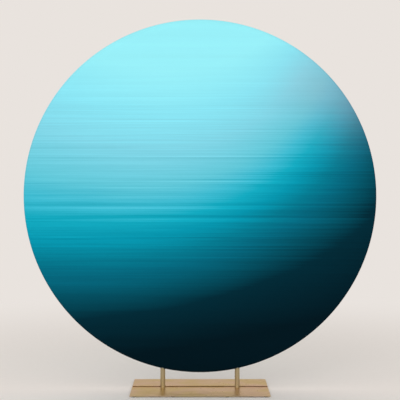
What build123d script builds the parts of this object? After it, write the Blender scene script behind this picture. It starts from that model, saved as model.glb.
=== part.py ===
"""Round fabric backdrop on a folding gold base.

A knock-down ring of eight tube arcs carries a stretch fabric cover. Two stubs under the ring drop into two
posts on a base of two steel leaves, which fold together on a piano hinge. The leaves' meeting edges are
turned up into lips, which stiffen the seam. A screw behind each post clamps its stub. Sizes are in
millimetres. +Z is up, the printed side faces -Y, and the origin is on the floor, below the ring's middle.
"""

import os
from math import asin, cos, degrees, radians, sin, sqrt

from build123d import *

os.makedirs("parts", exist_ok=True)

# Cover and ring: the finished disc is 2 m across.
COVER_RADIUS = 1000.0
CLOTH_THICKNESS = 1.0
CLOTH_GAP = 0.3
TUBE_RADIUS = 16.0
TUBE_WALL = 1.5
RING_RADIUS = COVER_RADIUS - CLOTH_THICKNESS - CLOTH_GAP - TUBE_RADIUS  # to the tube's centreline
WRAP_INNER = TUBE_RADIUS + CLOTH_GAP
WRAP_OUTER = WRAP_INNER + CLOTH_THICKNESS

# Rear margin and its hem.
HEM_INNER_RADIUS = 888.0
HEM_WIDTH = 16.0
HEM_DEPTH = 4.4
HEM_WALL = 1.5
ELASTIC_WIDTH = 11.6
ELASTIC_THICKNESS = 1.0

# Ring joints: eight arcs, with a joint every 45 degrees.
ARC_COUNT = 8
ARC_ANGLE = 360 / ARC_COUNT
FIRST_JOINT_ANGLE = ARC_ANGLE / 2
ARC_END_GAP = 0.2
JOINER_CLEARANCE = 0.2
JOINER_RADIUS = TUBE_RADIUS - TUBE_WALL - JOINER_CLEARANCE
JOINER_BORE_RADIUS = 12.5
JOINER_HALF_LENGTH = 58.0
BUTTON_FROM_JOINT = 30.0
BUTTON_RADIUS = 4.5
BUTTON_HOLE_RADIUS = 4.8
BUTTON_STANDS_OUT = 2.5
BUTTON_FLANGE_RADIUS = 5.7
BUTTON_FLANGE = (9.6, 10.8)  # the flange's two faces, from the tube's centreline
SPRING_THICKNESS = 0.8
SPRING_HALF_WIDTH = 3.5
RIVET_FROM_JOINT = 38.0
RIVET_RADIUS = 2.0
RIVET_HOLE_RADIUS = 2.1
RIVET_HEAD_RADIUS = 3.8
RIVET_HEAD_HEIGHT = 1.1
RIVET_REACH = 5.5

# Base leaves.
BASE_WIDTH = 770.0
BASE_DEPTH = 410.0
FOOT_HEIGHT = 5.0
LEAF_THICKNESS = 4.0
BASE_TOP = FOOT_HEIGHT + LEAF_THICKNESS
CORNER_RADIUS = 4.0
EDGE_ROUND = 0.8
SEAM_Y = 18.0
SEAM_GAP = 1.0
LIP_WIDTH = 2.5
LIP_HEIGHT = 5.0
LIP_ROUND = 0.8
LIP_SET_IN = 2.0
FOOT_RADIUS = 11.0

# Piano hinge under the seam.
HINGE_Z = FOOT_HEIGHT / 2 - 0.15
KNUCKLE_RADIUS = 2.1
KNUCKLE_BORE_RADIUS = 1.25
HINGE_PIN_RADIUS = 1.2
KNUCKLE_PITCH = 20.0
KNUCKLE_LENGTH = 19.6
KNUCKLE_COUNT = 37
FLAP_THICKNESS = 1.0
FLAP_WIDTH = 11.5
FLAP_FINGER = 2.6
HINGE_RIVET_Y = 7.0  # from the seam
HINGE_RIVET_RADIUS = 1.5
HINGE_RIVET_HOLE_RADIUS = 1.55
HINGE_RIVET_HEAD_RADIUS = 2.6
HINGE_RIVET_HEAD_HEIGHT = 1.1
HINGE_RIVET_REACH = 2.5
HINGE_RIVET_PITCH = 100.0
HINGE_RIVET_COUNT = 8

# Posts, stubs and clamps.
POST_X = 211.0
POST_RADIUS = 13.5
POST_BORE_RADIUS = 11.2
STUB_RADIUS = 11.0
STUB_BORE_RADIUS = 9.5
RING_ABOVE_BASE = 85.0
PLUG_HEIGHT = 25.0
SEAT_GAP = 0.3
FOOT_SCREW_RADIUS = 3.0
FOOT_SCREW_HOLE_RADIUS = 3.1
FOOT_SCREW_HEAD_RADIUS = 5.8
FOOT_SCREW_HEAD_HEIGHT = 2.8
FOOT_SCREW_LENGTH = 20.0
CLAMP_Z = 60.0
BOSS_RADIUS = 7.0
BOSS_REAR_Y = 21.5
CLAMP_SCREW_RADIUS = 3.0
CLAMP_HOLE_RADIUS = 3.2
CLAMP_SCREW_REAR_Y = 38.0
KNOB_FRONT_Y = 27.0
KNOB_THICKNESS = 14.0
KNOB_RADIUS = 13.0
KNOB_LOBES = 5
KNOB_HUB_RADIUS = 7.0
KNOB_HUB_LENGTH = 1.6
OPENING_RADIUS = 12.2
BINDING_INNER_RADIUS = 11.6
BINDING_OUTER_RADIUS = 15.0
BINDING_THICKNESS = 1.6
POST_TOP_GAP = 0.85

RING_CENTRE_Z = BASE_TOP + RING_ABOVE_BASE + COVER_RADIUS
RING_CENTRE = Vector(0, 0, RING_CENTRE_Z)
RING_AXIS = Axis((0, 0, RING_CENTRE_Z), (0, -1, 0))
SIDES = {"left": -1, "right": 1}


def write(part, name):
    """Labels one finished piece and writes it as a STEP file."""
    part.label = name
    export_step(part, f"parts/{name}.step")


def arc_degrees(length):
    """The angle that a length along the ring's centreline spans."""
    return degrees(length / RING_RADIUS)


def outward(angle):
    """The direction away from the ring's centre at an angle, counted from +X towards +Z."""
    return Vector(cos(radians(angle)), 0, sin(radians(angle)))


def along(angle):
    """The ring's direction of travel at an angle."""
    return Vector(-sin(radians(angle)), 0, cos(radians(angle)))


def section_plane(angle):
    """A plane across the ring: its x runs outward and its y runs along +Y, from the ring's centre."""
    return Plane(origin=RING_CENTRE, x_dir=outward(angle), z_dir=along(angle))


def radial_plane(angle, distance):
    """A plane that faces outward, at a distance from the ring's centre."""
    return Plane(origin=RING_CENTRE + outward(angle) * distance, x_dir=(0, 1, 0), z_dir=outward(angle))


# ---------------------------------------------------------------- cover

with BuildPart() as cover_front:
    with BuildSketch(Plane(origin=(0, -WRAP_INNER, RING_CENTRE_Z), x_dir=(1, 0, 0), z_dir=(0, -1, 0))):
        Circle(RING_RADIUS)
    extrude(amount=CLOTH_THICKNESS)
write(cover_front.part, "cover_front")

with BuildPart() as cover_rim:
    with BuildSketch(section_plane(0)):
        with Locations((RING_RADIUS, 0)):
            Circle(WRAP_OUTER)
            Circle(WRAP_INNER, mode=Mode.SUBTRACT)
        with Locations((RING_RADIUS - WRAP_OUTER, 0)):
            Rectangle(2 * WRAP_OUTER, 3 * WRAP_OUTER, mode=Mode.SUBTRACT)
    revolve(axis=RING_AXIS)
    with BuildSketch(Plane.XY.offset(BASE_TOP)):
        with Locations((-POST_X, 0), (POST_X, 0)):
            Circle(OPENING_RADIUS)
    extrude(amount=2 * RING_ABOVE_BASE, mode=Mode.SUBTRACT)
write(cover_rim.part, "cover_rim")

with BuildPart() as cover_margin:
    hem_centre = HEM_INNER_RADIUS + HEM_WIDTH / 2
    cloth_middle = WRAP_INNER + CLOTH_THICKNESS / 2
    margin_start = HEM_INNER_RADIUS + HEM_WIDTH - HEM_WALL
    margin_length = RING_RADIUS - margin_start
    with BuildSketch(section_plane(0)):
        with Locations((margin_start + margin_length / 2, cloth_middle)):
            Rectangle(margin_length, CLOTH_THICKNESS)
        with Locations((hem_centre, cloth_middle)):
            SlotOverall(HEM_WIDTH, HEM_DEPTH)
            SlotOverall(HEM_WIDTH - 2 * HEM_WALL, HEM_DEPTH - 2 * HEM_WALL, mode=Mode.SUBTRACT)
    revolve(axis=RING_AXIS)
write(cover_margin.part, "cover_margin")

with BuildPart() as hem_elastic:
    with BuildSketch(section_plane(0)):
        with Locations((hem_centre, cloth_middle)):
            SlotOverall(ELASTIC_WIDTH, ELASTIC_THICKNESS)
    revolve(axis=RING_AXIS)
write(hem_elastic.part, "hem_elastic")

with BuildPart() as opening_bindings:
    with BuildSketch(Plane.XY.offset(BASE_TOP)):
        with Locations((-POST_X, 0), (POST_X, 0)):
            Circle(BINDING_OUTER_RADIUS)
            Circle(BINDING_INNER_RADIUS, mode=Mode.SUBTRACT)
    extrude(amount=1.25 * RING_ABOVE_BASE + WRAP_OUTER)
    with Locations(Location(RING_CENTRE, (90, 0, 0))):
        Torus(RING_RADIUS, WRAP_OUTER + BINDING_THICKNESS, mode=Mode.INTERSECT)
        Torus(RING_RADIUS, WRAP_OUTER + 0.05, mode=Mode.SUBTRACT)
write(opening_bindings.part, "opening_bindings")

# ---------------------------------------------------------------- ring


def ring_length(angle, sweep, outer_radius, inner_radius):
    """Adds a curved tube to the open part, from an angle through a sweep."""
    with BuildSketch(section_plane(angle)) as section:
        with Locations((RING_RADIUS, 0)):
            Circle(outer_radius)
            Circle(inner_radius, mode=Mode.SUBTRACT)
    revolve(section.sketch, axis=RING_AXIS, revolution_arc=sweep)


def inner_side_hole(angle, radius):
    """Cuts a round hole in the open part's side that faces the ring's centre."""
    with BuildSketch(radial_plane(angle, RING_RADIUS - 1.2 * TUBE_RADIUS)) as hole:
        Circle(radius)
    extrude(hole.sketch, amount=TUBE_RADIUS, mode=Mode.SUBTRACT)


def ring_arc(joint_angle):
    """One arc of the ring, with a button hole at its start and a rivet hole at its end."""
    end_gap = arc_degrees(ARC_END_GAP)
    with BuildPart() as arc:
        ring_length(joint_angle + end_gap / 2, ARC_ANGLE - end_gap, TUBE_RADIUS, TUBE_RADIUS - TUBE_WALL)
        inner_side_hole(joint_angle + arc_degrees(BUTTON_FROM_JOINT), BUTTON_HOLE_RADIUS)
        inner_side_hole(joint_angle + ARC_ANGLE - arc_degrees(RIVET_FROM_JOINT), RIVET_HOLE_RADIUS)
    return arc.part


def ring_joiner(joint_angle):
    """The sleeve inside a joint: riveted in the arc before it, and latched in the arc after it."""
    half_sweep = arc_degrees(JOINER_HALF_LENGTH)
    with BuildPart() as joiner:
        ring_length(joint_angle - half_sweep, 2 * half_sweep, JOINER_RADIUS, JOINER_BORE_RADIUS)
        inner_side_hole(joint_angle + arc_degrees(BUTTON_FROM_JOINT), BUTTON_HOLE_RADIUS)
        inner_side_hole(joint_angle - arc_degrees(RIVET_FROM_JOINT), RIVET_HOLE_RADIUS)
    return joiner.part


def snap_button(joint_angle):
    """A domed button that stands out of the ring's inner side, on a flange inside the joiner."""
    angle = joint_angle + arc_degrees(BUTTON_FROM_JOINT)
    stem_length = TUBE_RADIUS + BUTTON_STANDS_OUT - BUTTON_FLANGE[1]
    with BuildPart() as button:
        with BuildSketch(radial_plane(angle, RING_RADIUS - BUTTON_FLANGE[1])):
            Circle(BUTTON_FLANGE_RADIUS)
        extrude(amount=BUTTON_FLANGE[1] - BUTTON_FLANGE[0])
        with BuildSketch(radial_plane(angle, RING_RADIUS - BUTTON_FLANGE[1])):
            Circle(BUTTON_RADIUS)
        extrude(amount=-stem_length)
        head = button.faces().sort_by(lambda face: (face.center() - RING_CENTRE).length)[0]
        fillet(head.edges(), BUTTON_STANDS_OUT - 0.3)
    return button.part


def button_spring(joint_angle):
    """The folded leaf spring that pushes a button out, seen from the side as a V lying along the ring."""
    angle = joint_angle + arc_degrees(BUTTON_FROM_JOINT)
    button_leg = -BUTTON_FLANGE[0] + SPRING_THICKNESS / 2 + 0.1
    wall_leg = JOINER_BORE_RADIUS - 1.4
    side = Plane(origin=RING_CENTRE + outward(angle) * RING_RADIUS, x_dir=along(angle), z_dir=(0, 1, 0))
    with BuildPart() as spring:
        with BuildSketch(side):
            with BuildLine():
                FilletPolyline((6.5, button_leg), (-5, button_leg), (-36, 0), (12, wall_leg), radius=2.5)
            trace(line_width=SPRING_THICKNESS)
        extrude(amount=SPRING_HALF_WIDTH, both=True)
    return spring.part


def ring_rivet(joint_angle):
    """Adds a blind rivet to the open part, through an arc's end and the joiner inside it."""
    angle = joint_angle - arc_degrees(RIVET_FROM_JOINT)
    with BuildSketch(radial_plane(angle, RING_RADIUS - TUBE_RADIUS)) as shank:
        Circle(RIVET_RADIUS)
    extrude(shank.sketch, amount=RIVET_REACH)
    with BuildSketch(radial_plane(angle, RING_RADIUS - TUBE_RADIUS)) as head:
        Circle(RIVET_HEAD_RADIUS)
    extrude(head.sketch, amount=-RIVET_HEAD_HEIGHT, taper=35)


for number in range(ARC_COUNT):
    joint_angle = FIRST_JOINT_ANGLE + number * ARC_ANGLE
    write(ring_arc(joint_angle), f"ring_arc_{number + 1}")
    write(ring_joiner(joint_angle), f"ring_joiner_{number + 1}")
    write(snap_button(joint_angle), f"snap_button_{number + 1}")
    write(button_spring(joint_angle), f"button_spring_{number + 1}")

with BuildPart() as ring_rivets:
    for number in range(ARC_COUNT):
        ring_rivet(FIRST_JOINT_ANGLE + number * ARC_ANGLE)
write(ring_rivets.part, "ring_rivets")

# ---------------------------------------------------------------- base leaves

RIVET_XS = [(i - (HINGE_RIVET_COUNT - 1) / 2) * HINGE_RIVET_PITCH for i in range(HINGE_RIVET_COUNT)]


def base_leaf(outer_y, side, screw_xs):
    """One base leaf, from the seam to outer_y. side is -1 in front of the seam and 1 behind it."""
    seam_y = SEAM_Y + side * SEAM_GAP / 2
    with BuildPart() as leaf:
        with BuildSketch(Plane.XY.offset(FOOT_HEIGHT)):
            with Locations((0, (outer_y + seam_y) / 2)):
                Rectangle(BASE_WIDTH, abs(outer_y - seam_y))
        extrude(amount=LEAF_THICKNESS)
        corners = leaf.edges().filter_by(Axis.Z).sort_by(lambda edge: abs(edge.center().Y - outer_y))[:2]
        fillet(corners, CORNER_RADIUS)
        top_edges = leaf.faces().sort_by(Axis.Z)[-1].edges()
        top_edges = top_edges.sort_by(lambda edge: abs(edge.center().Y - seam_y))
        fillet(top_edges[1:], EDGE_ROUND)
        with BuildSketch(Plane.XY.offset(FOOT_HEIGHT + LEAF_THICKNESS / 2)):
            with Locations((0, seam_y + side * LIP_WIDTH / 2)):
                Rectangle(BASE_WIDTH - 2 * LIP_SET_IN, LIP_WIDTH)
        extrude(amount=LEAF_THICKNESS / 2 + LIP_HEIGHT)
        lip_edges = leaf.faces().sort_by(Axis.Z)[-1].edges()
        fillet(lip_edges, LIP_ROUND)
        with BuildSketch(Plane.XY.offset(FOOT_HEIGHT)):
            with Locations(*[(x, SEAM_Y + side * HINGE_RIVET_Y) for x in RIVET_XS]):
                Circle(HINGE_RIVET_HOLE_RADIUS)
        extrude(amount=HINGE_RIVET_REACH + 0.1, mode=Mode.SUBTRACT)
        for x in screw_xs:
            with Locations(Location((x, 0, FOOT_HEIGHT), (180, 0, 0))):
                CounterSinkHole(FOOT_SCREW_HOLE_RADIUS, FOOT_SCREW_HEAD_RADIUS + 0.1, 2 * LEAF_THICKNESS, 90)
    return leaf.part


write(base_leaf(-BASE_DEPTH / 2, -1, (-POST_X, POST_X)), "base_leaf_front")
write(base_leaf(BASE_DEPTH / 2, 1, ()), "base_leaf_rear")


def rubber_feet(xs, ys):
    """A set of round rubber feet under a leaf."""
    with BuildPart() as feet:
        with BuildSketch():
            with Locations(*[(x, y) for x in xs for y in ys]):
                Circle(FOOT_RADIUS)
        extrude(amount=FOOT_HEIGHT, taper=4)
        fillet(feet.edges().group_by(Axis.Z)[0], 0.6)
    return feet.part


write(rubber_feet((-360, -150, 150, 360), (-190, -25)), "rubber_feet_front")
write(rubber_feet((-310, -90, 90, 310), (60, 190)), "rubber_feet_rear")

# ---------------------------------------------------------------- piano hinge


def hinge_flap(first_knuckle, side):
    """One strip of the piano hinge. side is -1 in front of the seam and 1 behind it."""
    centres = [(i - (KNUCKLE_COUNT - 1) / 2) * KNUCKLE_PITCH for i in range(first_knuckle, KNUCKLE_COUNT, 2)]
    strip_depth = FLAP_WIDTH - FLAP_FINGER
    strip_z = FOOT_HEIGHT - FLAP_THICKNESS / 2
    with BuildPart() as flap:
        with Locations((0, SEAM_Y + side * (FLAP_FINGER + strip_depth / 2), strip_z)):
            Box(KNUCKLE_COUNT * KNUCKLE_PITCH, strip_depth, FLAP_THICKNESS)
        with Locations(*[(x, SEAM_Y + side * (FLAP_FINGER + 0.5) / 2, strip_z) for x in centres]):
            Box(KNUCKLE_LENGTH, FLAP_FINGER + 0.5, FLAP_THICKNESS)
        with Locations(*[Location((x, SEAM_Y, HINGE_Z), (0, 90, 0)) for x in centres]):
            Cylinder(KNUCKLE_RADIUS, KNUCKLE_LENGTH)
            Cylinder(KNUCKLE_BORE_RADIUS, KNUCKLE_LENGTH, mode=Mode.SUBTRACT)
        with Locations(*[(x, SEAM_Y + side * HINGE_RIVET_Y, strip_z) for x in RIVET_XS]):
            Cylinder(HINGE_RIVET_HOLE_RADIUS, 2 * FLAP_THICKNESS, mode=Mode.SUBTRACT)
    return flap.part


def hinge_rivets(y):
    """The domed rivets that hold one strip under its leaf."""
    head_z = FOOT_HEIGHT - FLAP_THICKNESS
    with BuildPart() as rivets:
        with BuildSketch(Plane.XY.offset(head_z)):
            with Locations(*[(x, y) for x in RIVET_XS]):
                Circle(HINGE_RIVET_RADIUS)
        extrude(amount=FLAP_THICKNESS + HINGE_RIVET_REACH)
        with BuildSketch(Plane.XY.offset(head_z)):
            with Locations(*[(x, y) for x in RIVET_XS]):
                Circle(HINGE_RIVET_HEAD_RADIUS)
        extrude(amount=-HINGE_RIVET_HEAD_HEIGHT, taper=30)
    return rivets.part


write(hinge_flap(0, -1), "hinge_flap_front")
write(hinge_flap(1, 1), "hinge_flap_rear")
write(hinge_rivets(SEAM_Y - HINGE_RIVET_Y), "hinge_rivets_front")
write(hinge_rivets(SEAM_Y + HINGE_RIVET_Y), "hinge_rivets_rear")

with BuildPart() as hinge_pin:
    with Locations(Location((0, SEAM_Y, HINGE_Z), (0, 90, 0))):
        Cylinder(HINGE_PIN_RADIUS, KNUCKLE_COUNT * KNUCKLE_PITCH + 1)
    fillet(hinge_pin.edges(), 0.4)
write(hinge_pin.part, "hinge_pin")

# ---------------------------------------------------------------- posts, stubs and clamps

MITRE_RADIUS = COVER_RADIUS + BINDING_THICKNESS + 0.05 + POST_TOP_GAP
MITRE_ANGLE = degrees(asin(POST_X / MITRE_RADIUS))
STUB_FOOT_Z = BASE_TOP + PLUG_HEIGHT + SEAT_GAP
TUBE_AXIS_Z = RING_CENTRE_Z - sqrt(RING_RADIUS**2 - POST_X**2)


def post(side):
    """One post: a tube whose top is cut parallel to the ring above it, with the clamp's hole at its rear."""
    with BuildPart() as tube:
        with BuildSketch(Plane.XY.offset(BASE_TOP)):
            with Locations((side * POST_X, 0)):
                Circle(POST_RADIUS)
                Circle(POST_BORE_RADIUS, mode=Mode.SUBTRACT)
        extrude(amount=1.5 * RING_ABOVE_BASE)
        split(bisect_by=radial_plane(-90 + side * MITRE_ANGLE, MITRE_RADIUS), keep=Keep.TOP)
        with Locations(Location((side * POST_X, POST_RADIUS, CLAMP_Z), (90, 0, 0))):
            Cylinder(CLAMP_HOLE_RADIUS, POST_RADIUS, mode=Mode.SUBTRACT)
    return tube.part


def post_plug(side):
    """The threaded plug in the foot of a post."""
    with BuildPart() as plug:
        with BuildSketch(Plane.XY.offset(BASE_TOP)):
            with Locations((side * POST_X, 0)):
                Circle(POST_BORE_RADIUS)
        extrude(amount=PLUG_HEIGHT)
        chamfer(plug.edges().group_by(Axis.Z)[-1], 1)
        with BuildSketch(Plane.XY.offset(BASE_TOP)):
            with Locations((side * POST_X, 0)):
                Circle(FOOT_SCREW_RADIUS + 0.05)
        extrude(amount=FOOT_SCREW_LENGTH, mode=Mode.SUBTRACT)
    return plug.part


def ring_stub(side):
    """The tube that drops into a post. Its top is shaped to the ring's tube, where it is welded."""
    with BuildPart() as stub:
        with BuildSketch(Plane.XY.offset(STUB_FOOT_Z)):
            with Locations((side * POST_X, 0)):
                Circle(STUB_RADIUS)
                Circle(STUB_BORE_RADIUS, mode=Mode.SUBTRACT)
        extrude(amount=TUBE_AXIS_Z - STUB_FOOT_Z - TUBE_RADIUS / 2)
        with Locations(Location(RING_CENTRE, (90, 0, 0))):
            Torus(RING_RADIUS, TUBE_RADIUS + 0.02, mode=Mode.SUBTRACT)
        chamfer(stub.edges().group_by(Axis.Z)[0].sort_by(SortBy.LENGTH)[-1], 1)
    return stub.part


def clamp_boss(side):
    """The threaded boss welded to the back of a post."""
    with BuildPart() as boss:
        with Locations(Location((side * POST_X, BOSS_REAR_Y / 2, CLAMP_Z), (90, 0, 0))):
            Cylinder(BOSS_RADIUS, BOSS_REAR_Y)
        chamfer(boss.edges().group_by(Axis.Y)[-1], 1)
        with Locations((side * POST_X, 0, CLAMP_Z)):
            Cylinder(POST_RADIUS, 4 * BOSS_RADIUS, mode=Mode.SUBTRACT)
        with Locations(Location((side * POST_X, BOSS_REAR_Y / 2, CLAMP_Z), (90, 0, 0))):
            Cylinder(CLAMP_HOLE_RADIUS, 2 * BOSS_REAR_Y, mode=Mode.SUBTRACT)
    return boss.part


def clamp_screw(side):
    """The clamp's screw. Its tip stops just short of the stub."""
    tip_y = STUB_RADIUS + SEAT_GAP
    with BuildPart() as screw:
        with Locations(Location((side * POST_X, (tip_y + CLAMP_SCREW_REAR_Y) / 2, CLAMP_Z), (90, 0, 0))):
            Cylinder(CLAMP_SCREW_RADIUS, CLAMP_SCREW_REAR_Y - tip_y)
        chamfer(screw.edges().group_by(Axis.Y)[0], 0.8)
    return screw.part


def clamp_knob(side):
    """The lobed knob on the clamp's screw."""
    lobe_radius = KNOB_RADIUS * 0.36
    centre = (side * POST_X, KNOB_FRONT_Y, CLAMP_Z)
    face = Plane(origin=centre, x_dir=(1, 0, 0), z_dir=(0, 1, 0))
    with BuildPart() as knob:
        with BuildSketch(face):
            Circle(KNOB_RADIUS)
            with PolarLocations(KNOB_RADIUS + 0.45 * lobe_radius, KNOB_LOBES):
                Circle(lobe_radius, mode=Mode.SUBTRACT)
        extrude(amount=KNOB_THICKNESS)
        fillet(knob.edges().group_by(Axis.Y)[0] + knob.edges().group_by(Axis.Y)[-1], 1.5)
        with BuildSketch(face):
            Circle(KNOB_HUB_RADIUS)
        extrude(amount=-KNOB_HUB_LENGTH)
        with BuildSketch(face.offset(-KNOB_HUB_LENGTH)):
            Circle(CLAMP_SCREW_RADIUS + 0.05)
        extrude(amount=CLAMP_SCREW_REAR_Y - KNOB_FRONT_Y + KNOB_HUB_LENGTH + 0.1, mode=Mode.SUBTRACT)
    return knob.part


for name, side in SIDES.items():
    write(post(side), f"post_{name}")
    write(post_plug(side), f"post_plug_{name}")
    write(ring_stub(side), f"ring_stub_{name}")
    write(clamp_boss(side), f"clamp_boss_{name}")
    write(clamp_screw(side), f"clamp_screw_{name}")
    write(clamp_knob(side), f"clamp_knob_{name}")

with BuildPart() as foot_screws:
    with BuildSketch(Plane.XY.offset(FOOT_HEIGHT)):
        with Locations((-POST_X, 0), (POST_X, 0)):
            Circle(FOOT_SCREW_HEAD_RADIUS)
    extrude(amount=FOOT_SCREW_HEAD_HEIGHT, taper=45)
    with BuildSketch(Plane.XY.offset(FOOT_HEIGHT)):
        with Locations((-POST_X, 0), (POST_X, 0)):
            Circle(FOOT_SCREW_RADIUS)
    extrude(amount=FOOT_SCREW_LENGTH)
    with BuildSketch(Plane.XY.offset(FOOT_HEIGHT)):
        with Locations((-POST_X, 0), (POST_X, 0)):
            RegularPolygon(2.2, 6)
    extrude(amount=2.2, mode=Mode.SUBTRACT)
write(foot_screws.part, "foot_screws")
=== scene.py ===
"""Looks for a round fabric backdrop on a folding gold base: its cover, sewing, metal and studio."""

import math
import random

import bmesh
import bpy
from mathutils import Color, Matrix, Vector


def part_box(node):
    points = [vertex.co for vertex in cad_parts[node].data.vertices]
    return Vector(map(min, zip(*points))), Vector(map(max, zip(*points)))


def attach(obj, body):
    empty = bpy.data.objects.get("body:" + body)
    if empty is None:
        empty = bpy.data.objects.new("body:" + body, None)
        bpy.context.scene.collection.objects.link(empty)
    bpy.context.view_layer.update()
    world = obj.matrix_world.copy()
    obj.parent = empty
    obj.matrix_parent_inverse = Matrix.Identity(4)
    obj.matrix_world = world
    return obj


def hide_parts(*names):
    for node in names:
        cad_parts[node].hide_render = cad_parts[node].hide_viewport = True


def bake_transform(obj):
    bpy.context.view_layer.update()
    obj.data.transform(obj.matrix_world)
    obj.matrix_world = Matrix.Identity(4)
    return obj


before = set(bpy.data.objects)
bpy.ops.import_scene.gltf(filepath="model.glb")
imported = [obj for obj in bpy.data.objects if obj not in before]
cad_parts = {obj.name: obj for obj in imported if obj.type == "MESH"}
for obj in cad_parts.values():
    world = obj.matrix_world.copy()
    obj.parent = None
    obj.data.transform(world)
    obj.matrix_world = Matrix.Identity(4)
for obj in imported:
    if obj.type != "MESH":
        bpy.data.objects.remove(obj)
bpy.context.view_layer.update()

bl_info = {
    "name": "Round Fabric Backdrop",
    "version": (1, 0, 0),
    "blender": (4, 5, 0),
    "location": "3D View > Sidebar > Backdrop",
    "description": "Finishes a round stretch-fabric backdrop on its folding metal base",
    "category": "Object",
}

SIDES = ("left", "right")

# Places that the frame gives, in metres.
front_low, front_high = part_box("cover_front")
rim_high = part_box("cover_rim")[1]
elastic_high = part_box("hem_elastic")[1]
leaf_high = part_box("base_leaf_front")[1]
margin_low, margin_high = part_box("cover_margin")
RING_CENTRE = Vector((0, 0, (front_low.z + front_high.z) / 2))
RING_RADIUS = (front_high.x - front_low.x) / 2
WRAP_RADIUS = rim_high.x - RING_RADIUS
HEM_DEPTH = margin_high.y - margin_low.y
HEM_Y = (margin_high.y + margin_low.y) / 2

# The turned-up lips on the leaves' meeting edges.
LIP_HEIGHT = 0.005
LIP_DEPTH = 0.0025
BASE_TOP = leaf_high.z - LIP_HEIGHT
LIP_Y = leaf_high.y - LIP_DEPTH  # the face of the front leaf's lip


def middle(node):
    """The middle of a CAD node's box."""
    low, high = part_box(node)
    return (low + high) / 2


def linear(code):
    """A colour written as six hexadecimal digits, as the scene-linear values that shaders take."""
    parts = [int(code[i : i + 2], 16) / 255 for i in (0, 2, 4)]
    return tuple(Color(parts).from_srgb_to_scene_linear())


def colour(name, description, code):
    """A colour property with its default."""
    return bpy.props.FloatVectorProperty(
        name=name, description=description, subtype="COLOR", size=3, min=0, max=1, default=linear(code)
    )


def length(name, description, default):
    """A length property in metres."""
    return bpy.props.FloatProperty(
        name=name,
        description=description,
        default=default,
        min=0,
        precision=4,
        unit="LENGTH",
        subtype="DISTANCE",
    )


def share(name, description, default):
    """A property from 0 to 1."""
    return bpy.props.FloatProperty(
        name=name, description=description, default=default, min=0, max=1, subtype="FACTOR"
    )


def count(name, description, default):
    """A whole-number property."""
    return bpy.props.IntProperty(name=name, description=description, default=default, min=1)


class BackdropPrint(bpy.types.PropertyGroup):
    """The picture printed on the cover."""

    sky: colour("Sky", "Top of the print", "97F2FF")
    aqua: colour("Aqua", "Below the top", "89E7FA")
    pale: colour("Pale", "Upper part of the fade", "80D8ED")
    shallow: colour("Shallow", "Fade, below the pale part", "62CBE0")
    lagoon: colour("Lagoon", "Fade, above the turquoise", "3DBED8")
    turquoise: colour("Turquoise", "Middle of the fade, above the deepening", "12AEC8")
    teal: colour("Teal", "Middle of the fade", "0499B5")
    spruce: colour("Spruce", "Below the teal", "037D96")
    petrol: colour("Petrol", "Start of the dark part", "036A83")
    ink: colour("Ink", "Below the petrol", "025266")
    navy: colour("Navy", "Dark part", "012C3A")
    deep: colour("Deep", "Bottom of the print", "011822")
    haze: colour("Haze", "Grey-rose haze at the upper right", "B4B4C4")
    streaks: share("Streaks", "Strength of the horizontal streaks", 0.5)


class BackdropCloth(bpy.types.PropertyGroup):
    """How the cover is cut and gathered."""

    thickness: length("Cloth thickness", "Thickness of the stretch cloth", 0.0007)
    spin_steps: count("Spin steps", "Divisions round the cover", 1536)
    broad_pleats: count("Broad pleats", "Soft folds round the rear margin", 97)
    fine_pleats: count("Fine pleats", "Small pleats round the hem", 233)
    broad_depth: length("Broad depth", "Half the height of a soft fold", 0.0052)
    fine_depth: length("Fine depth", "Half the height of a small pleat", 0.0019)
    stitch: length("Stitch length", "Length of one stitch", 0.0032)
    stitch_pitch: length("Stitch pitch", "Distance from one stitch to the next", 0.0045)
    reverse: colour("Reverse", "Unprinted side of the cloth", "DDE9EA")
    thread: colour("Thread", "Sewing thread", "C9D6D8")
    tape: colour("Tape", "Binding round the openings", "0E2A33")


class BackdropMetal(bpy.types.PropertyGroup):
    """Metal, plastic and rubber finishes."""

    gold: colour("Gold", "Plated base", "D1BD92")
    gold_post: colour("Gold posts", "Plated posts, bosses and stubs", "B5A786")
    gold_edge: colour("Gold edge", "Plating seen at a shallow angle", "E6D9C2")
    gold_rose: colour("Gold rose", "Pinker plating in the base's warmer patches", "D7BEAB")
    # Painted shade: this dark colour on the face of the front leaf's lip stands in for the shade there, not
    # for a duller plating.
    lip_painted_shade: colour("Painted lip shade", "Plating on the face of the front leaf's lip", "5B3F22")
    leaf_roughness: share("Leaf roughness", "Roughness of the base's plating", 0.27)
    post_roughness: share("Post roughness", "Roughness of the posts' plating", 0.36)
    zinc: colour("Zinc", "Plated ring tube and screws", "B9BCBF")
    nickel: colour("Nickel", "Buttons, springs and rivets", "C2BFB8")
    brass: colour("Brass", "Piano hinge", "B9975A")
    plastic: colour("Plastic", "Clamp knobs", "17181A")
    rubber: colour("Rubber", "Feet", "1B1B1C")


class BackdropStudio(bpy.types.PropertyGroup):
    """Camera, floor and lights."""

    distance: length("Camera distance", "From the ring to the camera", 5.2)
    height: length("Camera height", "Height of the camera", 1.218)
    lens: bpy.props.FloatProperty(name="Lens", description="Focal length", default=82.5, unit="CAMERA")
    shift: bpy.props.FloatProperty(name="Shift", description="Vertical shift of the view", default=-0.065)
    wall: colour("Wall", "Colour behind the object", "E9E3DE")
    floor: colour("Floor", "Colour of the floor", "EEECEA")


# ---------------------------------------------------------------- shader helpers


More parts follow.
